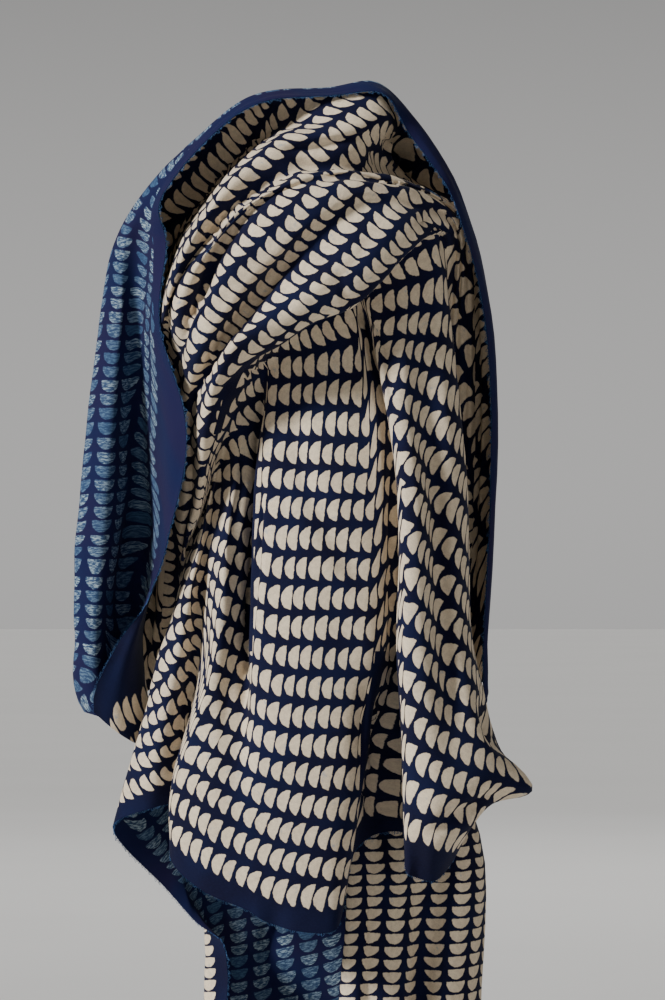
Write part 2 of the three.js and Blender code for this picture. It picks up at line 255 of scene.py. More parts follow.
def through(points, counts, even=False):
    """Places on the smooth curves through the rows of points, counted in rows from the first. The bends
    are shared out by the distance between the points, or evenly."""
    before = 2 * points[0] - points[1]
    after = 2 * points[-1] - points[-2]
    points = np.concatenate([before[None], points, after[None]])
    row = np.minimum(counts.astype(int), len(points) - 4)
    a, b, c, d = (points[row + k] for k in range(4))
    share = 0 if even else 0.5
    ab, bc, cd = (np.linalg.norm(q - p, axis=-1, keepdims=True) ** share
                  for p, q in ((a, b), (b, c), (c, d)))
    leave = ((b - a) / ab - (c - a) / (ab + bc) + (c - b) / bc) * bc
    arrive = ((c - b) / bc - (d - b) / (bc + cd) + (d - c) / cd) * bc
    t = (counts - row).reshape((-1,) + (1,) * (points.ndim - 1))
    bend = 2 * (b - c) + leave + arrive
    lean = 3 * (c - b) - 2 * leave - arrive
    return ((bend * t + lean) * t + leave) * t + b


def rows_before(table, at):
    """How many rows of a table lie before each place along the cloth, with the fraction past the last."""
    ats = np.array([row["at"] for row in table], float)
    return np.interp(at, ats, np.arange(len(ats)))


def divide(places, steps):
    """The numbers from the first place to the last, with the given steps between each pair."""
    ends = np.concatenate([[0], np.cumsum(steps)])
    return np.interp(np.arange(ends[-1] + 1), ends, places)


def net(finer_along, finer_across):
    """The middle surface of the cloth as rows of points: one row for each place along the cloth."""
    as_points = lambda places: [(right, back, up) for right, up, back in places]
    panel = np.array([as_points(row[level] for level in LEVELS) for row in FRONT], float)
    swag = np.array([as_points(row["places"]) for row in FOLDS], float).transpose(1, 0, 2)
    along = divide([row["at"] for row in FRONT], [finer_along * n for n in ALONG_STEPS])
    across = divide(range(len(LINES)), [finer_across * n for n in ACROSS_STEPS])
    sections = np.concatenate(
        [through(panel, rows_before(FRONT, along)), through(swag, rows_before(SECTIONS, along))], axis=1)
    return through(sections.transpose(1, 0, 2), across).transpose(1, 0, 2)


def patches_between(row, finer_along, finer_across):
    """The part of the net's patches between a table row's folds and lines, or from some patches past
    its first line."""
    folds = [fold["fold"] for fold in FRONT]
    start = lambda names, steps, name: sum(steps[:names.index(name)])
    rows = [start(folds, ALONG_STEPS, row[end]) * finer_along for end in ("from_fold", "to_fold")]
    columns = [start(LINES, ACROSS_STEPS, row[end]) * finer_across for end in ("from_line", "to_line")]
    columns[0] += row.get("past", 0) * finer_across
    return slice(*rows), slice(*columns)


def kept_patches(finer_along, finer_across):
    """Which patches of the net the cloth has."""
    kept = np.ones((sum(ALONG_STEPS) * finer_along, sum(ACROSS_STEPS) * finer_across), bool)
    for gap in LEFT_OUT:
        kept[patches_between(gap, finer_along, finer_across)] = False
    return kept


def patch_shares():
    """How firmly each patch of the coarser net keeps its size in the flat cloth."""
    shares = np.ones((sum(ALONG_STEPS), sum(ACROSS_STEPS)))
    for zone in LOOSE:
        shares[patches_between(zone, 1, 1)] = zone["share"]
    return shares


def normals(points):
    """The print side's normal at each point of the net."""
    along = np.gradient(points, axis=0)
    across = np.gradient(points, axis=1)
    normal = np.cross(along, across)
    return normal / np.linalg.norm(normal, axis=-1, keepdims=True)


# Which way the print's rows run where they show, in degrees up from rightwards as seen from the front.
# A half-moon's straight side faces that way.
ROWS_RUN = table("place x z angle", [
    ("middle, top", 20, -240, -3),
    ("middle", 20, -380, 0),
    ("middle, low", 20, -510, -3),
    ("middle, hem", 14, -610, -13),
    ("middle's right edge, top", 48, -280, -4),
    ("middle's right edge", 50, -380, -2),
    ("left of middle, hem", -56, -600, -26),
    ("bulge", -78, -536, -30),
    ("left drape, upper right", -56, -350, -40),
    ("left drape, right", -56, -430, -36),
    ("left drape, lower right", -62, -488, -32),
    ("left drape, upper left", -92, -432, 28),
    ("left drape, left", -108, -488, 33),
    ("left drape, corner", -128, -540, 36),
    ("lit strip, top", 92, -290, -40),
    ("lit strip", 92, -390, -40),
    ("lit strip, low", 94, -480, -34),
    ("side face, top", 116, -230, -36),
    ("side face", 122, -360, -40),
    ("tip", 146, -526, -22),
    ("tip, hem", 104, -586, -14),
    ("recess", 60, -530, -4),
    ("swag, first fold", -80, -120, 52),
    ("swag, top", -20, -72, 50),
    ("swag, left", -48, -108, 50),
    ("swag, middle", -4, -112, 52),
    ("swag, right", 40, -96, 57),
    ("swag, far right", 76, -88, 60),
    ("swag, lower left", -64, -176, 52),
    ("swag, roll", 10, -150, 50),
    ("arm, top", -96, -190, 66),
    ("arm", -86, -262, 82),
    ("arm, low", -88, -322, 90),
    ("hood, left", -84, -64, 43),
    ("hood, upper left", -44, -24, 38),
    ("top face", 24, -6, 52),
    ("top face, right", 50, -4, 50),
    ("hood, right", 80, -36, -38),
    ("far layer, top", 140, -160, -75),
    ("far layer", 146, -260, -85),
    ("tail", 72, -680, 90),
    ("tail, right", 120, -700, 90),
    ("lapel, top", -150, -150, 86),
    ("lapel", -154, -310, 90),
    ("lapel, low", -164, -420, 92),
])
ROWS_REACH = 45.0
# Where the flat cloth may give, so that the print keeps its size elsewhere: in the valleys between panels.
LOOSE = table("zone share from_fold to_fold from_line to_line past", [
    ("left valley", 0.03, "left valley", "left ridge", "hem", "upper"),
    ("bulge's hem", 0.2, "left ridge", "left slope", "hem", "low"),
    ("pleat", 0.02, "pleat", "middle left edge", "mid", "tuck"),
    ("behind the middle's right edge", 0.01, "right edge", "recess", "hem", "tuck"),
    ("recess", 0.3, "recess", "side valley", "hem", "tuck"),
    ("beside the spine", 0.02, "side valley", "spine", "hem", "tuck"),
    ("behind the swag's roll", 0.02, "left edge", "back right", "tuck", "roll edge", 2),
])
SEEN_DEPTH = 14.0
SIGHT_CELL = 6.0
UNSEEN_WEIGHT = 0.12
STEEP = 0.3


def in_sight(places, points):
    """Which places show from the front: none of the net's points lies much nearer the viewer."""
    lowest = points.reshape(-1, 3).min(axis=0)
    cell = lambda where: tuple(((where[..., k] - lowest[k]) // SIGHT_CELL).astype(int) for k in (0, 2))
    size = np.array(cell(points.reshape(-1, 3))).max(axis=1) + 1
    nearest = np.full(size, np.inf)
    np.minimum.at(nearest, cell(points.reshape(-1, 3)), points[..., 1].ravel())
    return places[..., 1] < nearest[cell(places)] + SEEN_DEPTH


# How the flat cloth is found from the folded one: each facet keeps its size and shape as well as it can,
# the ones that show above all.
EDGE_HOLD = 40.0
FREE_ROUNDS = 10
GUIDED_ROUNDS = 20
SMALLEST_FACET = 0.5
GUIDE_FIRMNESS = 2.0
STEEP_FADE = 0.3


def flatten(points, kept, shares, finer, own_edge, straight_rows):
    """A half of the net laid flat, in millimetres: along the cloth, and across it from its own edge,
    the hem in the first column or the selvedge in the last, which lies straight in the given rows."""
    rows, columns = points.shape[:2]
    number = np.arange(rows * columns).reshape(rows, columns)
    first, second, third, fourth = (number[:-1, :-1], number[1:, :-1], number[1:, 1:], number[:-1, 1:])
    facets = np.concatenate([np.stack(corners, -1)[kept] for corners in
                             ((first, second, third), (first, third, fourth))])
    used, facets = np.unique(facets, return_inverse=True)
    facets = facets.reshape(-1, 3)
    corner = points.reshape(-1, 3)[used][facets]
    along = np.gradient(points, axis=0).reshape(-1, 3)[used][facets].mean(axis=1)
    normal = np.cross(corner[:, 1] - corner[:, 0], corner[:, 2] - corner[:, 0])
    area = np.linalg.norm(normal, axis=1) / 2
    normal /= 2 * area[:, None]
    along -= (along * normal).sum(1, keepdims=True) * normal
    along /= np.linalg.norm(along, axis=1, keepdims=True)
    across = np.cross(normal, along)
    local = np.stack([np.einsum("fcx,fx->fc", corner - corner[:, :1], axis) for axis in (along, across)], -1)
    # Each facet's gradients of its three corners' values, along and across.
    edge = np.roll(local, -2, axis=1) - np.roll(local, -1, axis=1)
    gradient = np.stack([-edge[..., 1], edge[..., 0]], -1) / (2 * area[:, None, None])
    middle = corner.mean(axis=1)
    seen = in_sight(middle, finer)
    weight = np.maximum(area, SMALLEST_FACET) * np.where(seen, 1.0, UNSEEN_WEIGHT) * np.tile(shares[kept], 2)
    stiff = np.zeros((len(used), len(used)))
    pairs = np.einsum("fax,fbx,f->fab", gradient, gradient, weight)
    np.add.at(stiff, (facets[:, :, None], facets[:, None, :]), pairs)
    place = {int(n): i for i, n in enumerate(used)}
    straight = [place[n] for n in number[straight_rows, own_edge] if n in place]
    stiffs = [stiff, stiff.copy()]
    stiffs[0][straight[0], straight[0]] += EDGE_HOLD
    stiffs[1][straight, straight] += EDGE_HOLD
    solve = [np.linalg.inv(each) for each in stiffs]

    def lay(turn):
        """The flat places for each facet's turn, and the turns that fit them best."""
        axes = np.stack([np.stack([np.cos(turn), -np.sin(turn)], -1),
                         np.stack([np.sin(turn), np.cos(turn)], -1)], 1)
        flat = np.empty((len(used), 2))
        for k in range(2):
            load = np.zeros(len(used))
            np.add.at(load, facets, np.einsum("fcx,fx,f->fc", gradient, axes[:, k], weight))
            flat[:, k] = solve[k] @ load
        slope = np.einsum("fck,fcx->fkx", flat[facets], gradient)
        return flat, np.arctan2(slope[:, 1, 0] - slope[:, 0, 1], slope[:, 0, 0] + slope[:, 1, 1])

    turn = np.zeros(len(facets))
    for _ in range(FREE_ROUNDS):
        flat, turn = lay(turn)
    # The rows' directions spread over the cloth from the places where they are named.
    lies = flat[facets].mean(axis=1)
    heading, hold = np.zeros((len(facets), 2)), np.zeros(len(facets))
    for row in ROWS_RUN:
        off = np.hypot(middle[:, 0] - row["x"], middle[:, 2] - row["z"])
        named = np.argmin(np.where(seen, off, np.inf))
        share = np.exp(-((lies - lies[named]) ** 2).sum(axis=1) / ROWS_REACH ** 2)
        angle = math.radians(row["angle"])
        heading += share[:, None] ** 2 * np.array([math.cos(angle), math.sin(angle)])
        hold = np.maximum(hold, share)
    heading /= np.linalg.norm(heading, axis=1, keepdims=True) + 1e-12
    level = -(normal[:, 0] * heading[:, 0] + normal[:, 2] * heading[:, 1])
    facing = np.where(np.abs(normal[:, 1]) < STEEP, np.copysign(STEEP, normal[:, 1]), normal[:, 1])
    run = np.stack([heading[:, 0], level / facing, heading[:, 1]], -1)
    wanted = -np.arctan2((run * across).sum(1), (run * along).sum(1))
    upright = np.clip(np.abs(normal[:, 1]) / STEEP - STEEP_FADE, 0, 1)
    hold = np.minimum(1, GUIDE_FIRMNESS * hold) * seen * upright
    for _ in range(GUIDED_ROUNDS):
        both = (1 - hold) * np.exp(1j * turn) + hold * np.exp(1j * wanted)
        flat, turn = lay(np.angle(both))
    flat[:, 1] = (flat[:, 1] - flat[straight, 1].mean()) * (1 if own_edge == 0 else -1)
    laid = np.full((rows * columns, 2), np.nan)
    laid[used] = flat
    return laid.reshape(rows, columns, 2)


def refine(laid, finer_along, finer_across):
    """The flat places of the finer net's points, smoothly between those of the coarser net."""
    filled = laid.copy()
    for _ in range(max(filled.shape[:2])):
        empty = np.isnan(filled[..., 0])
        if not empty.any():
            break
        beside = np.stack([np.roll(filled, step, axis) for step, axis in ((1, 0), (-1, 0), (1, 1), (-1, 1))])
        some = ~np.isnan(beside[..., 0]).all(axis=0) & empty
        filled[some] = np.nanmean(beside[:, some], axis=0)
    rows, columns = laid.shape[:2]
    filled = through(filled, np.arange((rows - 1) * finer_along + 1) / finer_along, even=True)
    finer_columns = np.arange((columns - 1) * finer_across + 1) / finer_across
    return through(filled.transpose(1, 0, 2), finer_columns, even=True).transpose(1, 0, 2)


# Creases that the main folds don't give, each a soft trough along a run of places seen from the front.
# deep is how far it is pressed away from the viewer, and below nought it stands out.
CREASES = table("crease wide deep run", [
    ("valley behind the first fold", 5, 5, [(-8, -54), (-34, -70), (-62, -95), (-80, -116)]),
    ("hood's hollow", 12, 10, [(-98, -92), (-62, -40), (-22, -16)]),
    ("valley behind the second fold", 5, 5, [(-46, -88), (-67, -118), (-82, -163), (-92, -190)]),
    ("furrow", 5, 6, [(-9, -121), (-40, -162), (-66, -197), (-86, -235)]),
    ("fold beside the furrow", 4, -3, [(2, -98), (-36, -134), (-70, -178), (-89, -212)]),
    ("short fold of the swag", 7, 3, [(30, -112), (4, -140), (-24, -172)]),
    ("second short fold", 6, 3, [(64, -96), (44, -124), (22, -148)]),
    ("under the top face", 5, 7, [(-18, -33), (8, -33), (44, -24), (62, -22)]),
    ("under the lit panel", 5, 6, [(-10, -40), (18, -50), (36, -56)]),
    ("dark hollow", 14, 24, [(64, -24), (74, -38), (92, -46)]),
    ("behind the swag", 5, 4, [(42, -50), (84, -56), (118, -74)]),
    ("swag's top", 4, 3, [(46, -60), (71, -67), (104, -82)]),
    ("gather", 9, 10, [(96, -82), (122, -100)]),
    ("twist", 4, 6, [(34, -150), (66, -184), (72, -230)]),
    ("beside the twist", 4, -4, [(46, -148), (78, -170), (84, -210)]),
    ("slant across the middle", 8, 5, [(-8, -236), (2, -294), (23, -340), (49, -373), (76, -386)]),
    ("under the slant", 8, -2, [(12, -350), (44, -388), (70, -400)]),
    ("pleat", 3.5, 9, [(-32, -266), (-35, -353), (-39, -398), (-43, -470)]),
    ("under the swag", 6, 10, [(-64, -230), (-42, -214), (-14, -196)]),
    ("pleat's short fold", 4, 4, [(-54, -250), (-44, -290), (-57, -352)]),
    ("left drape's fold", 5, 4, [(-50, -318), (-53, -430), (-60, -500)]),
    ("left drape's valley", 5, 5, [(-76, -350), (-84, -430), (-94, -505)]),
    ("recess", 5, 7, [(75, -260), (76, -420), (78, -560)]),
    ("recess, low", 13, 14, [(56, -460), (60, -520), (64, -590)]),
    ("tail's fold", 9, 9, [(50, -600), (54, -690), (58, -770)]),
    ("tail's second fold", 8, 8, [(92, -590), (98, -680), (96, -770)]),
    ("tail's back fold", 9, 8, [(-20, -640), (-26, -700), (-22, -770)]),
    ("side valley", 7, 6, [(88, -226), (108, -313), (111, -400), (120, -470), (140, -500)]),
    ("under the tip", 6, 10, [(164, -545), (138, -555), (106, -574)]),
    ("lapel's trough", 10, 6, [(-132, -104), (-138, -220), (-134, -330), (-146, -400)]),
    ("lapel's valley", 11, 12, [(-130, -310), (-138, -380), (-150, -450)]),
    ("lapel's fold", 8, -3, [(-150, -190), (-156, -300), (-160, -400)]),
])


# Where the net is drawn a little way over: at is the middle of the pull and by how far it goes, both as
# (right, up, back). from_line and to_line say which part of the cloth goes along.
PULLS = table("pull at by wide from_line to_line", [
    ("above the tip", (168, -490, -60), (-22, -8, 0), 27, "hem", "tuck"),
    ("below the tip", (158, -568, -60), (-14, 8, 0), 20, "hem", "tuck"),
    ("tip", (176, -538, -66), (11, -5, 0), 14, "hem", "tuck"),
    ("far layer's end", (141, -424, 48), (-8, -26, 0), 26, "roll edge", "selvedge"),
    ("behind the left drape", (-90, -366, -20), (-5, 0, 0), 24, "hem", "tuck"),
    ("lapel's lower end", (-97, -364, -16), (6, 0, 0), 20, "roll edge", "selvedge"),
    ("lapel's foot", (-126, -484, 6), (9, -12, 0), 30, "roll edge", "selvedge"),
])


def draw_over(points):
    """The net with its pulls."""
    drawn = points.copy()
    for pull in PULLS:
        right, up, back = pull["at"]
        off = np.linalg.norm(points - (right, back, up), axis=-1) / pull["wide"]
        share = np.exp(-off ** 2)
        first, last = (column_of(pull[end]) * FINER_ACROSS for end in ("from_line", "to_line"))
        share[:, :first] = 0
        share[:, last + 1:] = 0
        right, up, back = pull["by"]
        drawn += share[..., None] * (right, back, up)
    return drawn


# At either end of its run a crease has the faded share of its depth. It gains the rest on the way in,
# at a rate that would give its depth the stated number of times over the whole run.
FADE_PARTS = 3
FADED_SHARE = 0.3


def press(points, normal):
    """The net with the creases pressed into what shows from the front."""
    pressed = points.copy()
    seen = points[..., [0, 2]]
    away = normal * normal[..., 1:2] * in_sight(points, points)[..., None]
    for crease in CREASES:
        run = np.array(crease["run"], float)
        long = np.concatenate([[0], np.cumsum(np.linalg.norm(np.diff(run, axis=0), axis=1))])
        nearest, part = np.full(seen.shape[:2], np.inf), np.zeros(seen.shape[:2])
        for start, end, before, after in zip(run, run[1:], long, long[1:]):
            share = np.clip(((seen - start) @ (end - start)) / (after - before) ** 2, 0, 1)
            off = np.linalg.norm(seen - start - share[..., None] * (end - start), axis=-1)
            part = np.where(off < nearest, before + share * (after - before), part)
            nearest = np.minimum(nearest, off)
        taper = np.clip(FADE_PARTS * np.minimum(part, long[-1] - part) / long[-1] + FADED_SHARE, 0, 1)
        pressed += (crease["deep"] * taper * np.exp(-((nearest / crease["wide"]) ** 2)))[..., None] * away
    return pressed


# Fine unevenness of the cloth, with the length of each wave along and across the cloth.
WAVES = table("wave along across high", [
    ("soft bulges", 40, 60, 1.2),
    ("small puckers", 13, 22, 0.35),
])


WAVES_APART = 7.3


def ruffle(points, normal):
    """The net with the fine unevenness added."""
    run = [np.linalg.norm(np.diff(points, axis=k), axis=2).mean(axis=1 - k) for k in (0, 1)]
    along, across = (np.concatenate([[0], np.cumsum(steps)]) for steps in run)
    ruffled = points.copy()
    for layer, wave in enumerate(WAVES):
        height = lambda u, v: noise.noise(
            Vector((u / wave["along"], v / wave["across"], WAVES_APART * layer)))
        high = np.array([[height(u, v) for v in across] for u in along])
        ruffled += wave["high"] * high[..., None] * normal
    return ruffled


def thicken(points, normal, kept):
    """The vertices of both sides of the cloth, and its faces: the print side, the reverse and the rims."""
    rows, columns = points.shape[:2]
    lift = normal * THICKNESS / 2
    places = np.concatenate([(points + lift).reshape(-1, 3), (points - lift).reshape(-1, 3)])
    number = np.arange(rows * columns).reshape(rows, columns)
    reverse = number + rows * columns
    first, second, third, fourth = (
        side[kept] for side in (number[:-1, :-1], number[1:, :-1], number[1:, 1:], number[:-1, 1:]))
    over = reverse.ravel()
    print_side = np.stack([first, second, third, fourth], -1)
    reverse_side = np.stack([over[first], over[fourth], over[third], over[second]], -1)
    padded = np.pad(kept, 1)
    rims = []
    corners = (first, second, third, fourth)
    for k, (down, across) in enumerate(((0, -1), (1, 0), (0, 1), (-1, 0))):
        bare = ~padded[1 + down:rows + down, 1 + across:columns + across][kept]
        start, end = corners[k][bare], corners[(k + 1) % 4][bare]
        rims.append(np.stack([start, over[start], over[end], end], -1))
    return places, [print_side, reverse_side, np.concatenate(rims)]


def flat_corners(kept, halves, seam):
    """The flat places of the corners of each face of both sides. At the seam the two halves meet."""
    row, column = np.nonzero(kept)
    corners = np.empty((len(row), 4, 2))
    for k, (down, right) in enumerate(((0, 0), (1, 0), (1, 1), (0, 1))):
        for half, flat, first in ((column < seam, halves[0], 0), (column >= seam, halves[1], seam)):
            corners[half, k] = flat[row[half] + down, column[half] + right - first]
    return np.concatenate([corners, corners[:, [0, 3, 2, 1]]])


# Painted shade: in these deep folds the print is left out, so the dark ground stands in for the shadow in
# them.
PAINTED_SHADE_FOLDS = table("zone from_fold to_fold from_line to_line past", [
    ("under the swag", "left ridge", "side valley", "tuck", "roll edge", 2),
    ("pleat", "pleat", "middle left edge", "mid", "tuck"),
    ("behind the middle's right edge", "right edge", "recess", "low", "mid"),
    ("beside the spine", "side valley", "spine", "hem", "mid"),
])
# Where the selvedge is turned under along the hood's far side: the print reaches the fold, and the strip
# of the reverse beside it has none. That plain dark strip is partly painted shade, standing in for print that
# lies in shadow there.
TURNED_UNDER_SHADED = (84, 96)
MARGIN_LEAST = 0.7


def printed(points, turned_sign):
    """Above nought where the cloth is printed: how far each point lies inside the selvedge's margin. In the
    folds of painted shade it is below nought, so the print is left out and the dark ground stands for their
    shadow.
    """
    steps = np.linalg.norm(np.diff(points, axis=1), axis=2)
    inward = np.pad(steps[:, ::-1].cumsum(axis=1)[:, ::-1], ((0, 0), (0, 1)))
    inward -= SELVEDGE_MARGIN * MARGIN_LEAST
    along = divide([row["at"] for row in FRONT], [FINER_ALONG * n for n in ALONG_STEPS])
    turned = (along > TURNED_UNDER_SHADED[0]) & (along < TURNED_UNDER_SHADED[1])
    # In the turned-under rows the reverse's half-moons are left out: partly painted shade, a plain dark
    # strip.
    inward += turned[:, None] * turned_sign * SELVEDGE_MARGIN
    # The folds of painted shade get no print: below nought here, so the dark ground reads as their shadow.
    for zone in PAINTED_SHADE_FOLDS:
        rows, columns = patches_between(zone, FINER_ALONG, FINER_ACROSS)
        inward[rows.start + 1:rows.stop, columns.start:columns.stop + 1] = -1
    return inward


FLAT_MAP = "flat"
PRINTED_MAP = "printed"
SHARP_ANGLE = 70


def make_mesh(name, places, face_groups, materials, flat=None, inward=None):
    """A mesh object in metres. Each group of faces has the material of its own place in the list."""
    faces = [group for group in face_groups if len(group)]
    mesh = bpy.data.meshes.new(name)
    used, renumbered = np.unique(np.concatenate([group.ravel() for group in faces]), return_inverse=True)
    mesh.from_pydata((places[used] * MM).tolist(), [], renumbered.reshape(-1, faces[0].shape[1]).tolist())
    sizes = [len(group) for group in face_groups]
    mesh.polygons.foreach_set("material_index", np.repeat(range(len(sizes)), sizes))
    mesh.polygons.foreach_set("use_smooth", np.ones(len(mesh.polygons), bool))
    for material in materials:
        mesh.materials.append(material)
    if flat is not None:
        rest = np.zeros((len(mesh.polygons) - len(flat), 4, 2))
        layer = mesh.uv_layers.new(name=FLAT_MAP)
        layer.data.foreach_set("uv", (np.concatenate([flat, rest]) * MM).ravel())
    if inward is not None:
        attribute = mesh.attributes.new(PRINTED_MAP, "FLOAT", "POINT")
        attribute.data.foreach_set("value", inward.ravel()[used])
    mesh.set_sharp_from_angle(angle=math.radians(SHARP_ANGLE))
    mesh.update()
    obj = bpy.data.objects.new(name, mesh)
    bpy.context.collection.objects.link(obj)
    return obj


# Soft uneven patterns, as long along and across the cloth as given, in millimetres. low and high are the
# levels of the noise that count as none and all of the pattern.
PATTERNS = table("pattern along across layer detail rough low high", [
    ("drift along", 70.0, 70.0, 3.1, 0.0, 0.5),
    ("drift across", 70.0, 70.0, 8.7, 0.0, 0.5),
    ("ragged along", 3.4, 3.4, 1.3, 2.0, 0.6),
    ("ragged across", 3.4, 3.4, 5.9, 2.0, 0.6),
    ("thick threads", 9.0, 0.6, 2.0, 1.0, 0.5),
    ("thin threads", 0.6, 9.0, 4.0, 1.0, 0.5),
    ("worn threads", 2.4, 0.9, 6.0, 3.0, 0.7, 0.25, 0.8),
    ("faded", 45.0, 45.0, 9.0, 2.0, 0.5, 0.35, 0.7),
    ("mottle", 3.5, 3.5, 12.0, 3.0, 0.6, 0.3, 0.7),
    ("grain", 0.8, 0.8, 18.0, 2.0, 0.6, 0.3, 0.7),
    ("stains", 5.5, 5.5, 15.0, 3.0, 0.65, 0.56, 0.74),
    ("tinge", 40.0, 60.0, 21.0, 2.0, 0.5, 0.3, 0.7),
    ("streaks", 1.1, 5.0, 24.0, 3.0, 0.7, 0.42, 0.62),
])


class Nodes:
    """The nodes of a material or of the world, each made by one call."""

    def __init__(self, owner, shader="Principled BSDF"):
        owner.use_nodes = True
        self.owner = owner
        self.tree = owner.node_tree
        self.shader = self.tree.nodes[shader]

    def put(self, socket, value):
        if isinstance(value, bpy.types.NodeSocket):
            self.tree.links.new(value, socket)
        else:
            socket.default_value = value

    def finish(self, roughness, specular=None):
        self.shader.inputs["Roughness"].default_value = roughness
        if specular is not None:
            self.shader.inputs["Specular IOR Level"].default_value = specular
        return self.owner

    def node(self, kind, values=(), **settings):
        node = self.tree.nodes.new("ShaderNode" + kind)
        for key, value in settings.items():
            setattr(node, key, value)
        for key, value in dict(values).items():
            self.put(node.inputs[key], value)
        return node

    def math(self, operation, *values):
        node = self.node("Math", operation=operation)
        for socket, value in zip(node.inputs, values):
            self.put(socket, value)
        return node.outputs[0]

    def ramp(self, value, low, high):
        """The value taken smoothly from low..high to 0..1."""
        values = {"Value": value, "From Min": low, "From Max": high}
        return self.node("MapRange", values, interpolation_type="SMOOTHSTEP").outputs[0]

    def mix(self, share, one, other):
        node = self.node("Mix", data_type="RGBA")
        self.put(node.inputs[0], share)
        self.put(node.inputs[6], one)
        self.put(node.inputs[7], other)
        return node.outputs[2]

    def flat_place(self):
        """The two flat coordinates, in millimetres."""
        place = self.node("SeparateXYZ", {0: self.node("UVMap", uv_map=FLAT_MAP).outputs[0]})
        return [self.math("DIVIDE", place.outputs[k], MM) for k in range(2)]

    def vector(self, x, y, z=0.0):
        return self.node("CombineXYZ", {0: x, 1: y, 2: z}).outputs[0]

    def pattern(self, name, u, v):
        """The named pattern at a flat place, from 0 to 1."""
        row = next(row for row in PATTERNS if row["pattern"] == name)
        place = [self.math("DIVIDE", u, row["along"]), self.math("DIVIDE", v, row["across"]), row["layer"]]
        values = {"Vector": self.vector(*place), "Scale": 1.0, "Detail": row["detail"],
                  "Roughness": row["rough"]}
        level = self.node("TexNoise", values, noise_dimensions="3D").outputs[0]
        return self.ramp(level, row["low"], row["high"]) if "low" in row else level


# One half-moon, in millimetres of the layout: a straight side to the right, a round side to the left.
MOON_WIDE = 8.5
MOON_TALL = 15.8
MOON_ROUNDED = 1.5
MOON_EDGE = 0.30
# How far half-moons stray from their rows together and one by one, how rough their edges are, and their
# sizes beside the usual one.
MOON_DRIFT = 1.4
MOON_LOOSE = 0.8
MOON_RAGGED = 0.8
MOON_SMALLEST = 0.9
MOON_VARIETY = 0.14


def half_moons(n, u, v):
    """How far the printed half-moons cover each place, and each half-moon's own numbers from 0 to 1."""
    strayed = []
    for place, way in ((u, "along"), (v, "across")):
        shift = n.math("MULTIPLY_ADD", n.pattern("drift " + way, u, v), MOON_DRIFT * 2, -MOON_DRIFT)
        ragged = n.math("MULTIPLY_ADD", n.pattern("ragged " + way, u, v), MOON_RAGGED * 2, -MOON_RAGGED)
        strayed.append(n.math("ADD", n.math("ADD", place, shift), ragged))
    along = n.math("DIVIDE", strayed[0], MOON_PITCH)
    across = n.math("DIVIDE", strayed[1], ROW_PITCH)
    cell = [n.math("FLOOR", along), n.math("FLOOR", across)]
    chance = n.node("TexWhiteNoise", {0: n.vector(*cell)}, noise_dimensions="3D").outputs[1]
    chance = n.node("SeparateColor", {0: chance}).outputs
    x, y = (n.math("MULTIPLY", n.math("SUBTRACT", n.math("SUBTRACT", place, c), 0.5), pitch)
            for place, c, pitch in ((along, cell[0], MOON_PITCH), (across, cell[1], ROW_PITCH)))
    x, y = (n.math("ADD", place, n.math("MULTIPLY_ADD", chance[k], MOON_LOOSE, -MOON_LOOSE / 2))
            for k, place in enumerate((x, y)))
    size = n.math("MULTIPLY_ADD", chance[2], MOON_VARIETY, MOON_SMALLEST)
    x, y = n.math("DIVIDE", x, size), n.math("DIVIDE", y, size)
    straight = n.math("SUBTRACT", MOON_WIDE / 2, x)
    reach = n.node("VectorMath", {0: n.vector(n.math("DIVIDE", straight, MOON_WIDE),
                                              n.math("DIVIDE", y, MOON_TALL / 2))}, operation="LENGTH")
    bulge = n.math("MULTIPLY", n.math("SUBTRACT", 1.0, reach.outputs["Value"]), MOON_WIDE)
    inside = n.math("SMOOTH_MIN", straight, bulge, MOON_ROUNDED)
    cover = n.ramp(inside, -MOON_EDGE, MOON_EDGE)
    # The printed map is below nought in the margins and in the folds of painted shade, where the half-moons
    # are left out so the dark ground reads as shadow.
    printed_here = n.node("Attribute", attribute_name=PRINTED_MAP).outputs["Fac"]
    bounds = n.math("MULTIPLY", n.math("GREATER_THAN", across, 0.0),
                    n.math("GREATER_THAN", printed_here, 0.0))
    return n.math("MULTIPLY", cover, bounds), chance


GROUND = (0.0035, 0.0040, 0.0190, 1)
GROUND_LIGHT = (0.0080, 0.0095, 0.0420, 1)
CREAM = (0.860, 0.725, 0.530, 1)
CREAM_DULL = (0.560, 0.455, 0.335, 1)
STAIN = (0.300, 0.350, 0.420, 1)
REVERSE = (0.0065, 0.0115, 0.0560, 1)
REVERSE_PURPLE = (0.0120, 0.0105, 0.0500, 1)
REVERSE_MOON = (0.0600, 0.1350, 0.2500, 1)
REVERSE_BRIGHT = (0.4700, 0.5900, 0.6400, 1)
MARGIN_BLUE = (0.0060, 0.0140, 0.0650, 1)
THREAD = (0.0550, 0.1600, 0.3500, 1)
# How much of each colour or pattern goes into the cloth.
WORN = 0.6
FADED = 0.35
DULL_MOTTLE = 0.4
DULL_GRAIN = 0.35
DULL_MOON = 0.25
STAINED = 0.7
STAINS_FROM = 0.35
SEEPED = 0.8
SEEPED_LEAST = 0.45

# The plain weave, with its thread's pitch in millimetres and the shares of its height.
THREAD_PITCH = 0.75
KNIT_SHARE = 0.25
UNEVEN_SHARE = 0.5
WEAVE_BUMP = 0.35
WEAVE_HEIGHT = 0.0004

CLOTH_ROUGHNESS = 0.88
EDGE_ROUGHNESS = 0.9
SPECULAR = 0.12
SHEEN = 0.03
SHEEN_ROUGHNESS = 0.5
THREAD_GRAIN = 900.0


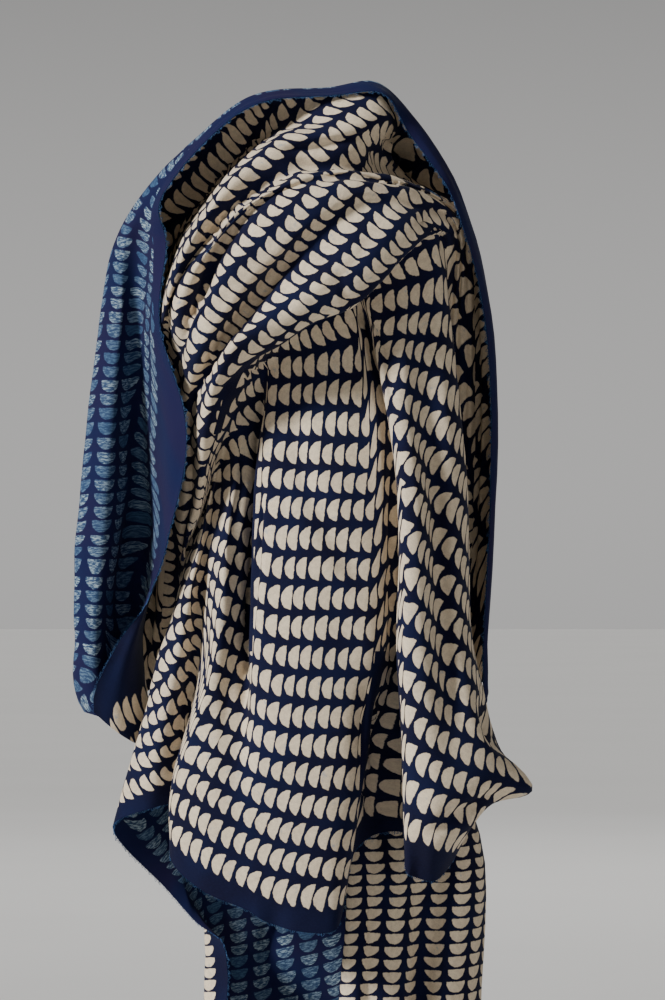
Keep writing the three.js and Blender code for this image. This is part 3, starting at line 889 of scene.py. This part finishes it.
def weave(n, u, v):
    """The height of the plain weave, from 0 to 1, uneven as hand-spun threads are."""
    waves = [n.math("SINE", n.math("MULTIPLY", place, 2 * math.pi / THREAD_PITCH)) for place in (u, v)]
    height = n.math("MULTIPLY_ADD", n.math("MULTIPLY", *waves), KNIT_SHARE, KNIT_SHARE)
    threads = [n.math("MULTIPLY", n.pattern(name, u, v), UNEVEN_SHARE)
               for name in ("thick threads", "thin threads")]
    return n.math("ADD", height, n.math("ADD", *threads))


def finish_cloth(n, colour, height):
    n.put(n.shader.inputs["Base Color"], colour)
    bump = n.node("Bump", {"Strength": WEAVE_BUMP, "Distance": WEAVE_HEIGHT, "Height": height})
    n.put(n.shader.inputs["Normal"], bump.outputs[0])
    n.shader.inputs["Sheen Weight"].default_value = SHEEN
    n.shader.inputs["Sheen Roughness"].default_value = SHEEN_ROUGHNESS
    return n.finish(CLOTH_ROUGHNESS, SPECULAR)


def make_print():
    n = Nodes(bpy.data.materials.new("print"))
    u, v = n.flat_place()
    cover, chance = half_moons(n, u, v)
    ground = n.mix(n.math("MULTIPLY", n.pattern("worn threads", u, v), WORN), GROUND, GROUND_LIGHT)
    ground = n.mix(n.math("MULTIPLY", n.pattern("faded", u, v), FADED), ground, MARGIN_BLUE)
    dull = n.math("ADD", n.math("MULTIPLY", n.pattern("mottle", u, v), DULL_MOTTLE),
                  n.math("ADD", n.math("MULTIPLY", n.pattern("grain", u, v), DULL_GRAIN),
                         n.math("MULTIPLY", chance[0], DULL_MOON)))
    stained = n.math("MULTIPLY", n.pattern("stains", u, v), n.ramp(chance[1], STAINS_FROM, 1.0))
    cream = n.mix(n.math("MULTIPLY", stained, STAINED), n.mix(dull, CREAM, CREAM_DULL), STAIN)
    return finish_cloth(n, n.mix(cover, ground, cream), weave(n, u, v))


def make_reverse():
    n = Nodes(bpy.data.materials.new("reverse"))
    u, v = n.flat_place()
    cover, chance = half_moons(n, u, v)
    ground = n.mix(n.pattern("tinge", u, v), REVERSE, REVERSE_PURPLE)
    streaks = n.pattern("streaks", u, v)
    seep = n.math("MULTIPLY", n.math("MULTIPLY_ADD", streaks, 1 - SEEPED_LEAST, SEEPED_LEAST), cover)
    moon = n.mix(n.math("MULTIPLY", streaks, chance[0]), REVERSE_MOON, REVERSE_BRIGHT)
    return finish_cloth(n, n.mix(n.math("MULTIPLY", seep, SEEPED), ground, moon), weave(n, u, v))


def make_edge():
    n = Nodes(bpy.data.materials.new("edge"))
    n.shader.inputs["Base Color"].default_value = MARGIN_BLUE
    return n.finish(EDGE_ROUGHNESS, SPECULAR)


def make_thread():
    n = Nodes(bpy.data.materials.new("thread"))
    place = n.node("TexCoord").outputs["Object"]
    shade = n.node("TexNoise", {"Vector": place, "Scale": THREAD_GRAIN}).outputs[0]
    n.put(n.shader.inputs["Base Color"], n.mix(shade, MARGIN_BLUE, THREAD))
    return n.finish(EDGE_ROUGHNESS)


# The frayed loops of thread along the hem and the selvedge, in millimetres. jitter is a share of the
# step, and the other plain numbers are shares of a loop's length.
LOOP_STEP = 1.4
LOOP_LONG = 2.5
LOOP_THICK = 0.4
LOOP_SUNK = 0.3
LOOP_JITTER = 0.4
LOOP_SIZES = (0.4, 1.5)
LOOP_LEAN = 0.8
LOOP_LIFT = 0.7
LOOP_HALF_WIDTH = 0.35
LOOP_REACH = 0.8
LOOP_POINTS = 5
LOOP_SIDES = 3
LOOP_SEED = 11


def make_loops(name, edge, outward, normal, material):
    """Small uneven loops of thread that stand out from an edge of the cloth."""
    rng = np.random.default_rng(LOOP_SEED)
    run = np.concatenate([[0], np.cumsum(np.linalg.norm(np.diff(edge, axis=0), axis=1))])
    at = np.arange(LOOP_STEP / 2, run[-1], LOOP_STEP)
    at += rng.uniform(-LOOP_JITTER, LOOP_JITTER, len(at)) * LOOP_STEP
    along = np.gradient(edge, axis=0)
    along /= np.linalg.norm(along, axis=1, keepdims=True)
    on_edge = lambda values: np.stack([np.interp(at, run, values[:, k]) for k in range(3)], -1)
    root, side, out, up = (on_edge(values) for values in (edge, along, outward, normal))
    long = LOOP_LONG * rng.uniform(*LOOP_SIZES, (len(at), 1))
    lean = rng.uniform(-LOOP_LEAN, LOOP_LEAN, (len(at), 1))
    lift = rng.uniform(-LOOP_LIFT, LOOP_LIFT, (len(at), 1))
    turn = np.linspace(0, math.pi, LOOP_POINTS)
    aside = lambda a: side * long * LOOP_HALF_WIDTH * (1 - math.cos(a))
    path = np.stack([root + aside(a) + (out + lean * side + lift * up) * long * math.sin(a) * LOOP_REACH
                     - out * LOOP_SUNK for a in turn], 1)
    ring = [(math.cos(a), math.sin(a)) for a in np.linspace(0, 2 * math.pi, LOOP_SIDES, endpoint=False)]
    places = np.stack([path + LOOP_THICK / 2 * (c * up + s * side)[:, None] for c, s in ring], 2)
    number = np.arange(len(at) * LOOP_POINTS * LOOP_SIDES).reshape(len(at), LOOP_POINTS, LOOP_SIDES)
    after = np.roll(number, -1, axis=2)
    walls = np.stack([number[:, :-1], after[:, :-1], after[:, 1:], number[:, 1:]], -1).reshape(-1, 4)
    return make_mesh(name, places.reshape(-1, 3), [walls], [material])


# The studio, in metres: a sun for the key light, so that floor and cloth are lit alike.
KEY_STRENGTH = 4.5
KEY_SOFTNESS = 12.0
KEY_HEADING = (1.45, 0.98, -1.0)
LIGHTS = [
    dict(light="fill", place=(1.9, -2.2, 0.2), size=1.8, power=5),
    dict(light="back", place=(0.6, 2.4, 1.2), size=1.8, power=18),
]
LIGHT_AIM = Vector((0.0, 0.0, -0.35))
FLOOR_Z = -0.765
FLOOR_SIZE = 30.0
FLOOR_DULL = (0.66, 0.65, 0.63, 1)
FLOOR_PALE = (0.70, 0.69, 0.67, 1)
FLOOR_GRAIN = 3.0
FLOOR_ROUGHNESS = 0.95
# The world is palest level with the floor's far edge, and dimmer overhead, so that folds shade well.
WORLD = (0.80, 0.79, 0.78, 1)
WORLD_LEVEL = 0.60
WORLD_ELSEWHERE = 0.10
WORLD_BAND = 0.22


def make_light(name, kind, heading, **settings):
    light = bpy.data.lights.new(name, kind)
    for key, value in settings.items():
        setattr(light, key, value)
    obj = bpy.data.objects.new(name, light)
    bpy.context.collection.objects.link(obj)
    obj.rotation_euler = Vector(heading).to_track_quat("-Z", "Y").to_euler()
    return obj


def make_floor():
    corner = FLOOR_SIZE / 2 / MM
    ground = FLOOR_Z / MM
    places = np.array([(-corner, -corner, ground), (corner, -corner, ground),
                       (corner, corner, ground), (-corner, corner, ground)])
    paint = Nodes(bpy.data.materials.new("floor"))
    place = paint.node("TexCoord").outputs["Object"]
    grain = paint.node("TexNoise", {"Vector": place, "Scale": FLOOR_GRAIN}).outputs[0]
    paint.put(paint.shader.inputs["Base Color"], paint.mix(grain, FLOOR_DULL, FLOOR_PALE))
    return make_mesh("floor", places, [np.array([[0, 1, 2, 3]])], [paint.finish(FLOOR_ROUGHNESS)])


def make_world():
    sky = Nodes(bpy.data.worlds.new("world"), "Background")
    up = sky.node("SeparateXYZ", {0: sky.node("TexCoord").outputs["Generated"]}).outputs["Z"]
    values = {"Value": sky.math("ABSOLUTE", up), "From Max": WORLD_BAND, "To Min": WORLD_LEVEL,
              "To Max": WORLD_ELSEWHERE}
    level = sky.node("MapRange", values, interpolation_type="SMOOTHSTEP").outputs[0]
    sky.put(sky.shader.inputs["Color"], WORLD)
    sky.put(sky.shader.inputs["Strength"], level)
    bpy.context.scene.world = sky.owner


def make_studio():
    make_floor()
    make_world()
    make_light("key", "SUN", KEY_HEADING, energy=KEY_STRENGTH, angle=math.radians(KEY_SOFTNESS))
    for row in LIGHTS:
        obj = make_light(row["light"], "AREA", LIGHT_AIM - Vector(row["place"]), size=row["size"],
                         energy=row["power"])
        obj.location = row["place"]


def column_of(line):
    return sum(ACROSS_STEPS[:LINES.index(line)])


def lay_halves(finer):
    """Both halves of the cloth laid flat: along it, and across it from the plain margin of its own edge."""
    coarse, kept, shares = net(1, 1), kept_patches(1, 1), patch_shares()
    seam = column_of(SEAM)
    hem_half = flatten(coarse[:, :seam + 1], kept[:, :seam], shares[:, :seam], finer, 0, slice(None))
    upright = [row["fold"] for row in FRONT].index(STRAIGHT_TO)
    selvedge_half = flatten(coarse[:, seam:], kept[:, seam:], shares[:, seam:], finer, -1,
                            slice(sum(ALONG_STEPS[:upright])))
    hem_half[..., 1] -= HEM_MARGIN
    selvedge_half[..., 1] -= SELVEDGE_MARGIN
    return [refine(half, FINER_ALONG, FINER_ACROSS) for half in (hem_half, selvedge_half)]


make_camera()
points = net(FINER_ALONG, FINER_ACROSS)
kept = kept_patches(FINER_ALONG, FINER_ACROSS)
halves = lay_halves(points)
points = draw_over(points)
points = press(points, normals(points))
points = ruffle(points, normals(points))
normal = normals(points)

places, face_groups = thicken(points, normal, kept)
flat = flat_corners(kept, halves, column_of(SEAM) * FINER_ACROSS)
cloth = make_mesh("cotton_cloth", places, face_groups, [make_print(), make_reverse(), make_edge()], flat,
                  np.stack([printed(points, 1), printed(points, -1)]))
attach(cloth, "root")
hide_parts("cloth")

thread = make_thread()
across = np.gradient(points, axis=1)
across /= np.linalg.norm(across, axis=-1, keepdims=True)
shown = np.append(kept[:, -1], False)
hem_loops = make_loops("hem_loops", points[:, 0], -across[:, 0], normal[:, 0], thread)
selvedge_loops = make_loops("selvedge_loops", points[shown, -1], across[shown, -1], normal[shown, -1], thread)
for loops in (hem_loops, selvedge_loops):
    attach(loops, "root")

make_studio()
